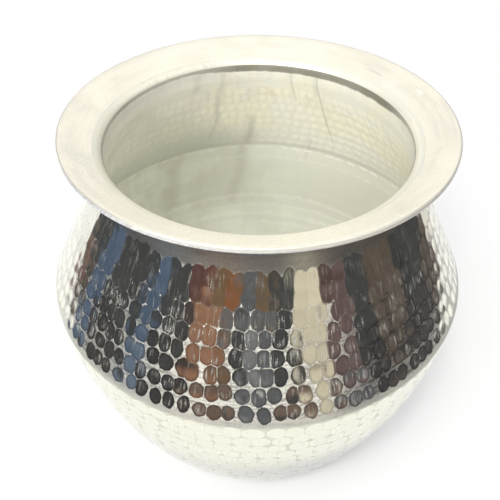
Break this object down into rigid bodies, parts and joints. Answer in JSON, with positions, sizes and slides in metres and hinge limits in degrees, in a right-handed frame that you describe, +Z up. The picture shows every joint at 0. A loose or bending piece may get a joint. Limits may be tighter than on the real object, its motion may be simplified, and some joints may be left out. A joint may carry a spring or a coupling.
{
  "type": "cooking pot",
  "caption": "Round-bellied hammered metal cooking pot with a conical shoulder, short neck, wide sloping brim and flat base.",
  "frame": {"origin": "centre of the flat base, on the surface the pot stands on", "axes": "+Z up along the pot's axis, from the base to the brim"},
  "size_m": [0.328, 0.328, 0.28],
  "materials": {
    "aluminium": "satin lathe-turned brim and inside, polished and hammered outside"
  },
  "bodies": {
    "root": {"pot_shell": "aluminium"}
  },
  "joints": []
}
